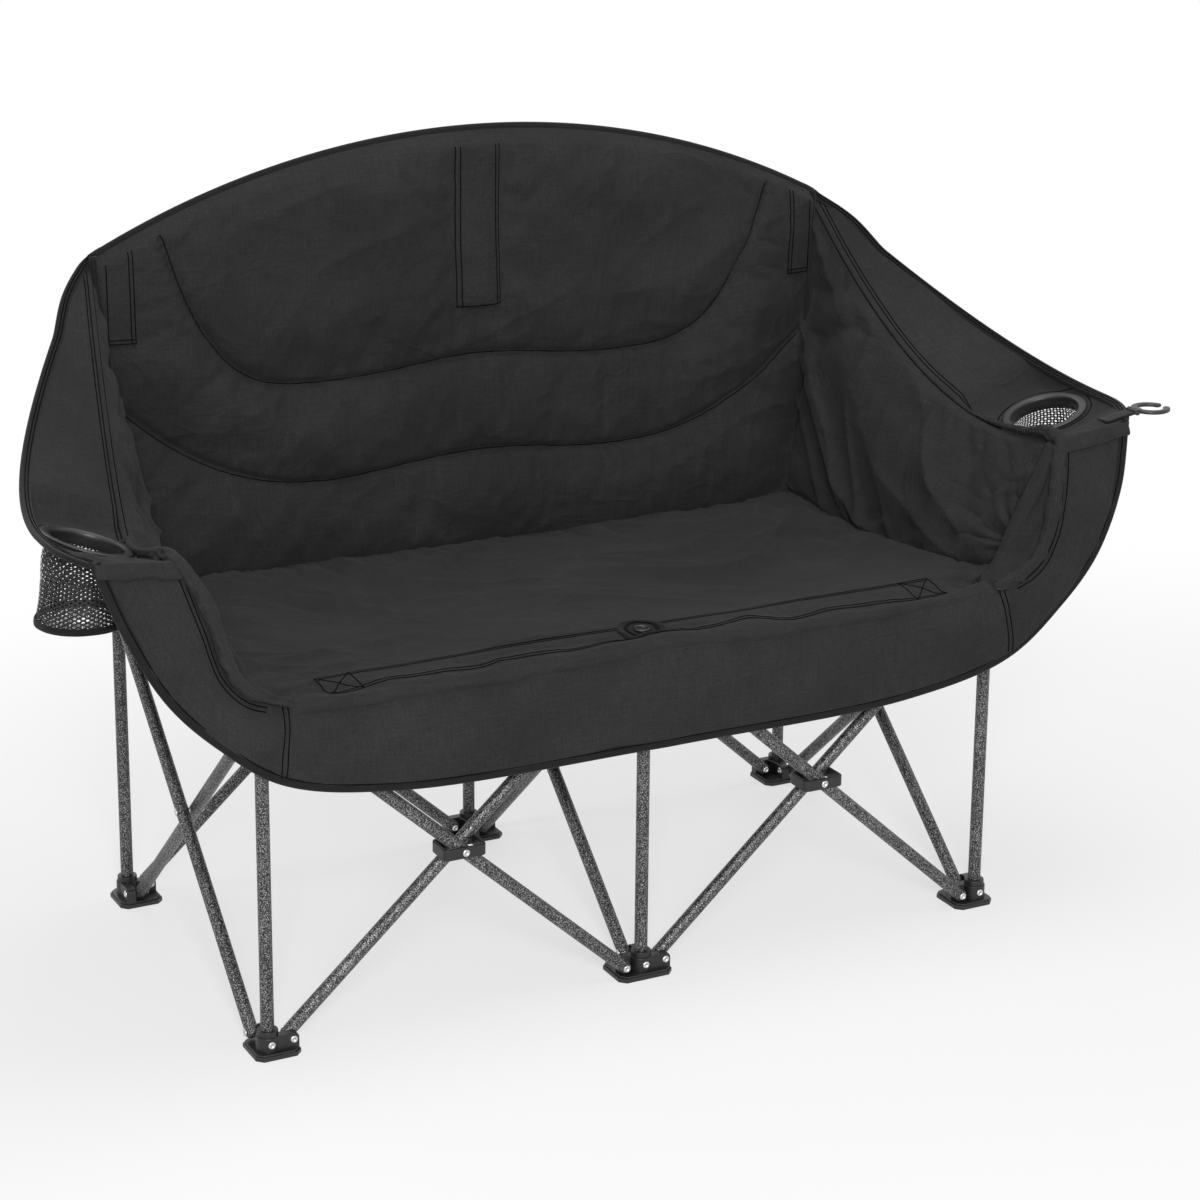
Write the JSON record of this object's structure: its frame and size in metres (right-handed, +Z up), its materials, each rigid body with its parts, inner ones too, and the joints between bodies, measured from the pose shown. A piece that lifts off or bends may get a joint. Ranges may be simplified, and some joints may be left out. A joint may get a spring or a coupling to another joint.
{
  "type": "folding camping loveseat",
  "caption": "Folding camping loveseat: a padded fabric seat, back and sides with cup holders in the arms, on a scissor frame of steel tubes that folds into a bundle.",
  "frame": {"origin": "middle of the underside of the front centre foot, on the floor", "axes": "+X to the right as seen from the front, +Y from the front to the back, +Z up"},
  "size_m": [1.4732, 0.5724, 0.973],
  "materials": {
    "hammertone_tube": "satin hammertone",
    "bare_steel": "satin",
    "black_plastic": "matte",
    "black_fabric": "plain weave",
    "black_mesh": "open mesh"
  },
  "bodies": {
    "back_centre": {"back_centre_foot": "black_plastic", "back_centre_upright": "hammertone_tube", "backrest": "black_fabric"},
    "back_centre_top": {"back_centre_hub": "black_plastic", "seat": "black_fabric"},
    "back_left": {"back_left_foot": "black_plastic", "back_left_upright": "hammertone_tube", "left_side_panel": "black_fabric"},
    "back_right": {"back_right_foot": "black_plastic", "back_right_upright": "hammertone_tube", "right_side_panel": "black_fabric"},
    "back_left_top": {"back_left_hub": "black_plastic"},
    "back_right_top": {"back_right_hub": "black_plastic"},
    "front_centre": {"front_centre_foot": "black_plastic", "front_centre_upright": "hammertone_tube"},
    "front_centre_top": {"front_centre_hub": "black_plastic", "front_centre_inner_rod": "bare_steel", "apron": "black_fabric", "seat_badge": "black_plastic"},
    "front_left": {"front_left_foot": "black_plastic", "front_left_upright": "hammertone_tube"},
    "front_left_top": {"front_left_hub": "black_plastic", "front_left_inner_rod": "bare_steel"},
    "left_arm": {"left_arm_post": "hammertone_tube", "left_arm_sleeve": "black_fabric", "left_arm_top": "black_fabric", "left_cup_ring": "black_plastic", "left_mesh_cup": "black_mesh"},
    "front_right": {"front_right_foot": "black_plastic", "front_right_upright": "hammertone_tube"},
    "front_right_top": {"front_right_hub": "black_plastic", "front_right_inner_rod": "bare_steel"},
    "right_arm": {"right_arm_post": "hammertone_tube", "right_arm_sleeve": "black_fabric", "right_arm_top": "black_fabric", "right_cup_ring": "black_plastic", "right_mesh_cup": "black_mesh", "glass_holder_tab": "black_fabric"},
    "glass_holder": {"glass_holder": "black_plastic"},
    "back_right_cross_tube_to_right": {"back_right_cross_tube_to_right": "hammertone_tube"},
    "back_right_cross_tube_to_left": {"back_right_cross_tube_to_left": "hammertone_tube"},
    "back_right_crossing_bracket": {"back_right_crossing_bracket": "black_plastic"},
    "back_left_cross_tube_to_left": {"back_left_cross_tube_to_left": "hammertone_tube"},
    "back_left_cross_tube_to_right": {"back_left_cross_tube_to_right": "hammertone_tube"},
    "back_left_crossing_bracket": {"back_left_crossing_bracket": "black_plastic"},
    "centre_cross_tube_to_front": {"centre_cross_tube_to_front": "hammertone_tube"},
    "centre_cross_tube_to_back": {"centre_cross_tube_to_back": "hammertone_tube"},
    "centre_crossing_bracket": {"centre_crossing_bracket": "black_plastic"},
    "left_side_cross_tube_to_front": {"left_side_cross_tube_to_front": "hammertone_tube", "left_side_crossing_rivet": "bare_steel"},
    "left_side_cross_tube_to_back": {"left_side_cross_tube_to_back": "hammertone_tube"},
    "right_side_cross_tube_to_front": {"right_side_cross_tube_to_front": "hammertone_tube", "right_side_crossing_rivet": "bare_steel"},
    "right_side_cross_tube_to_back": {"right_side_cross_tube_to_back": "hammertone_tube"},
    "front_left_cross_tube_to_right": {"front_left_cross_tube_to_right": "hammertone_tube"},
    "front_left_cross_tube_to_left": {"front_left_cross_tube_to_left": "hammertone_tube"},
    "front_left_crossing_bracket": {"front_left_crossing_bracket": "black_plastic"},
    "front_right_cross_tube_to_left": {"front_right_cross_tube_to_left": "hammertone_tube"},
    "front_right_cross_tube_to_right": {"front_right_cross_tube_to_right": "hammertone_tube"},
    "front_right_crossing_bracket": {"front_right_crossing_bracket": "black_plastic"}
  },
  "joints": [
    {"name": "fold", "type": "hinge", "parent": "back_centre", "child": "back_right_cross_tube_to_right", "pos_m": [0.028, 0.49, 0.018], "axis": [0, -1, 0], "range_deg": [0, 44], "deforming": ["backrest", "seat", "apron", "left_side_panel", "right_side_panel", "left_arm_top", "right_arm_top"]},
    {"name": "back_right_crossing_pivot", "type": "hinge", "parent": "back_right_cross_tube_to_right", "child": "back_right_cross_tube_to_left", "pos_m": [0.245, 0.49, 0.212], "axis": [0, 1, 0], "range_deg": [0, 88]},
    {"name": "back_right_crossing_bracket_turn", "type": "hinge", "parent": "back_right_cross_tube_to_right", "child": "back_right_crossing_bracket", "pos_m": [0.245, 0.49, 0.212], "axis": [0, 1, 0], "range_deg": [0, 44]},
    {"name": "back_right_cross_tube_to_left_foot_pivot", "type": "hinge", "parent": "back_right_cross_tube_to_left", "child": "back_right", "pos_m": [0.462, 0.49, 0.018], "axis": [0, -1, 0], "range_deg": [0, 44]},
    {"name": "back_right_cross_tube_to_right_hub_pivot", "type": "hinge", "parent": "back_right_cross_tube_to_right", "child": "back_right_top", "pos_m": [0.462, 0.49, 0.406], "axis": [0, 1, 0], "range_deg": [0, 44]},
    {"name": "back_right_cross_tube_to_left_hub_pivot", "type": "hinge", "parent": "back_right_cross_tube_to_left", "child": "back_centre_top", "pos_m": [0.028, 0.49, 0.406], "axis": [0, -1, 0], "range_deg": [0, 44]},
    {"name": "back_left_cross_tube_to_left_foot_pivot", "type": "hinge", "parent": "back_centre", "child": "back_left_cross_tube_to_left", "pos_m": [-0.028, 0.49, 0.018], "axis": [0, 1, 0], "range_deg": [0, 44]},
    {"name": "back_left_crossing_pivot", "type": "hinge", "parent": "back_left_cross_tube_to_left", "child": "back_left_cross_tube_to_right", "pos_m": [-0.245, 0.49, 0.212], "axis": [0, -1, 0], "range_deg": [0, 88]},
    {"name": "back_left_crossing_bracket_turn", "type": "hinge", "parent": "back_left_cross_tube_to_left", "child": "back_left_crossing_bracket", "pos_m": [-0.245, 0.49, 0.212], "axis": [0, -1, 0], "range_deg": [0, 44]},
    {"name": "back_left_cross_tube_to_right_foot_pivot", "type": "hinge", "parent": "back_left_cross_tube_to_right", "child": "back_left", "pos_m": [-0.462, 0.49, 0.018], "axis": [0, 1, 0], "range_deg": [0, 44]},
    {"name": "back_left_cross_tube_to_left_hub_pivot", "type": "hinge", "parent": "back_left_cross_tube_to_left", "child": "back_left_top", "pos_m": [-0.462, 0.49, 0.406], "axis": [0, -1, 0], "range_deg": [0, 44]},
    {"name": "centre_cross_tube_to_front_foot_pivot", "type": "hinge", "parent": "back_centre", "child": "centre_cross_tube_to_front", "pos_m": [0, 0.462, 0.018], "axis": [-1, 0, 0], "range_deg": [0, 44]},
    {"name": "centre_crossing_pivot", "type": "hinge", "parent": "centre_cross_tube_to_front", "child": "centre_cross_tube_to_back", "pos_m": [0, 0.245, 0.212], "axis": [1, 0, 0], "range_deg": [0, 88]},
    {"name": "centre_crossing_bracket_turn", "type": "hinge", "parent": "centre_cross_tube_to_front", "child": "centre_crossing_bracket", "pos_m": [0, 0.245, 0.212], "axis": [1, 0, 0], "range_deg": [0, 44]},
    {"name": "centre_cross_tube_to_back_foot_pivot", "type": "hinge", "parent": "centre_cross_tube_to_back", "child": "front_centre", "pos_m": [0, 0.028, 0.018], "axis": [-1, 0, 0], "range_deg": [0, 44]},
    {"name": "centre_cross_tube_to_front_hub_pivot", "type": "hinge", "parent": "centre_cross_tube_to_front", "child": "front_centre_top", "pos_m": [0, 0.028, 0.406], "axis": [1, 0, 0], "range_deg": [0, 44]},
    {"name": "left_side_cross_tube_to_front_foot_pivot", "type": "hinge", "parent": "back_left", "child": "left_side_cross_tube_to_front", "pos_m": [-0.49, 0.462, 0.018], "axis": [-1, 0, 0], "range_deg": [0, 44]},
    {"name": "left_side_crossing_pivot", "type": "hinge", "parent": "left_side_cross_tube_to_front", "child": "left_side_cross_tube_to_back", "pos_m": [-0.49, 0.245, 0.212], "axis": [1, 0, 0], "range_deg": [0, 88]},
    {"name": "left_side_cross_tube_to_back_foot_pivot", "type": "hinge", "parent": "left_side_cross_tube_to_back", "child": "front_left", "pos_m": [-0.49, 0.028, 0.018], "axis": [-1, 0, 0], "range_deg": [0, 44]},
    {"name": "left_side_cross_tube_to_front_hub_pivot", "type": "hinge", "parent": "left_side_cross_tube_to_front", "child": "front_left_top", "pos_m": [-0.49, 0.028, 0.406], "axis": [1, 0, 0], "range_deg": [0, 44]},
    {"name": "right_side_cross_tube_to_front_foot_pivot", "type": "hinge", "parent": "back_right", "child": "right_side_cross_tube_to_front", "pos_m": [0.49, 0.462, 0.018], "axis": [-1, 0, 0], "range_deg": [0, 44]},
    {"name": "right_side_crossing_pivot", "type": "hinge", "parent": "right_side_cross_tube_to_front", "child": "right_side_cross_tube_to_back", "pos_m": [0.49, 0.245, 0.212], "axis": [1, 0, 0], "range_deg": [0, 88]},
    {"name": "right_side_cross_tube_to_back_foot_pivot", "type": "hinge", "parent": "right_side_cross_tube_to_back", "child": "front_right", "pos_m": [0.49, 0.028, 0.018], "axis": [-1, 0, 0], "range_deg": [0, 44]},
    {"name": "right_side_cross_tube_to_front_hub_pivot", "type": "hinge", "parent": "right_side_cross_tube_to_front", "child": "front_right_top", "pos_m": [0.49, 0.028, 0.406], "axis": [1, 0, 0], "range_deg": [0, 44]},
    {"name": "front_left_cross_tube_to_right_foot_pivot", "type": "hinge", "parent": "front_left", "child": "front_left_cross_tube_to_right", "pos_m": [-0.462, 0, 0.018], "axis": [0, -1, 0], "range_deg": [0, 44]},
    {"name": "front_left_crossing_pivot", "type": "hinge", "parent": "front_left_cross_tube_to_right", "child": "front_left_cross_tube_to_left", "pos_m": [-0.245, 0, 0.212], "axis": [0, 1, 0], "range_deg": [0, 88]},
    {"name": "front_left_crossing_bracket_turn", "type": "hinge", "parent": "front_left_cross_tube_to_right", "child": "front_left_crossing_bracket", "pos_m": [-0.245, 0, 0.212], "axis": [0, 1, 0], "range_deg": [0, 44]},
    {"name": "front_right_cross_tube_to_left_foot_pivot", "type": "hinge", "parent": "front_right", "child": "front_right_cross_tube_to_left", "pos_m": [0.462, 0, 0.018], "axis": [0, 1, 0], "range_deg": [0, 44]},
    {"name": "front_right_crossing_pivot", "type": "hinge", "parent": "front_right_cross_tube_to_left", "child": "front_right_cross_tube_to_right", "pos_m": [0.245, 0, 0.212], "axis": [0, -1, 0], "range_deg": [0, 88]},
    {"name": "front_right_crossing_bracket_turn", "type": "hinge", "parent": "front_right_cross_tube_to_left", "child": "front_right_crossing_bracket", "pos_m": [0.245, 0, 0.212], "axis": [0, -1, 0], "range_deg": [0, 44]},
    {"name": "left_arm_fold", "type": "hinge", "parent": "front_left_top", "child": "left_arm", "pos_m": [-0.498, 0, 0.43], "axis": [0, 1, 0], "range_deg": [0, 27.5]},
    {"name": "right_arm_fold", "type": "hinge", "parent": "front_right_top", "child": "right_arm", "pos_m": [0.498, 0, 0.43], "axis": [0, -1, 0], "range_deg": [0, 27.5]},
    {"name": "glass_holder_swing", "type": "hinge", "parent": "right_arm", "child": "glass_holder", "pos_m": [0.704, 0.002, 0.6307], "axis": [0, 1, 0], "range_deg": [0, 90]}
  ],
  "couplings": [
    {"joint": "back_right_crossing_pivot", "follows": "fold", "ratio": 2},
    {"joint": "back_right_crossing_bracket_turn", "follows": "fold", "ratio": 1},
    {"joint": "back_right_cross_tube_to_left_foot_pivot", "follows": "fold", "ratio": 1},
    {"joint": "back_right_cross_tube_to_right_hub_pivot", "follows": "fold", "ratio": 1},
    {"joint": "back_right_cross_tube_to_left_hub_pivot", "follows": "fold", "ratio": 1},
    {"joint": "back_left_cross_tube_to_left_foot_pivot", "follows": "fold", "ratio": 1},
    {"joint": "back_left_crossing_pivot", "follows": "fold", "ratio": 2},
    {"joint": "back_left_crossing_bracket_turn", "follows": "fold", "ratio": 1},
    {"joint": "back_left_cross_tube_to_right_foot_pivot", "follows": "fold", "ratio": 1},
    {"joint": "back_left_cross_tube_to_left_hub_pivot", "follows": "fold", "ratio": 1},
    {"joint": "centre_cross_tube_to_front_foot_pivot", "follows": "fold", "ratio": 1},
    {"joint": "centre_crossing_pivot", "follows": "fold", "ratio": 2},
    {"joint": "centre_crossing_bracket_turn", "follows": "fold", "ratio": 1},
    {"joint": "centre_cross_tube_to_back_foot_pivot", "follows": "fold", "ratio": 1},
    {"joint": "centre_cross_tube_to_front_hub_pivot", "follows": "fold", "ratio": 1},
    {"joint": "left_side_cross_tube_to_front_foot_pivot", "follows": "fold", "ratio": 1},
    {"joint": "left_side_crossing_pivot", "follows": "fold", "ratio": 2},
    {"joint": "left_side_cross_tube_to_back_foot_pivot", "follows": "fold", "ratio": 1},
    {"joint": "left_side_cross_tube_to_front_hub_pivot", "follows": "fold", "ratio": 1},
    {"joint": "right_side_cross_tube_to_front_foot_pivot", "follows": "fold", "ratio": 1},
    {"joint": "right_side_crossing_pivot", "follows": "fold", "ratio": 2},
    {"joint": "right_side_cross_tube_to_back_foot_pivot", "follows": "fold", "ratio": 1},
    {"joint": "right_side_cross_tube_to_front_hub_pivot", "follows": "fold", "ratio": 1},
    {"joint": "front_left_cross_tube_to_right_foot_pivot", "follows": "fold", "ratio": 1},
    {"joint": "front_left_crossing_pivot", "follows": "fold", "ratio": 2},
    {"joint": "front_left_crossing_bracket_turn", "follows": "fold", "ratio": 1},
    {"joint": "front_right_cross_tube_to_left_foot_pivot", "follows": "fold", "ratio": 1},
    {"joint": "front_right_crossing_pivot", "follows": "fold", "ratio": 2},
    {"joint": "front_right_crossing_bracket_turn", "follows": "fold", "ratio": 1},
    {"joint": "left_arm_fold", "follows": "fold", "ratio": 0.625},
    {"joint": "right_arm_fold", "follows": "fold", "ratio": 0.625}
  ]
}
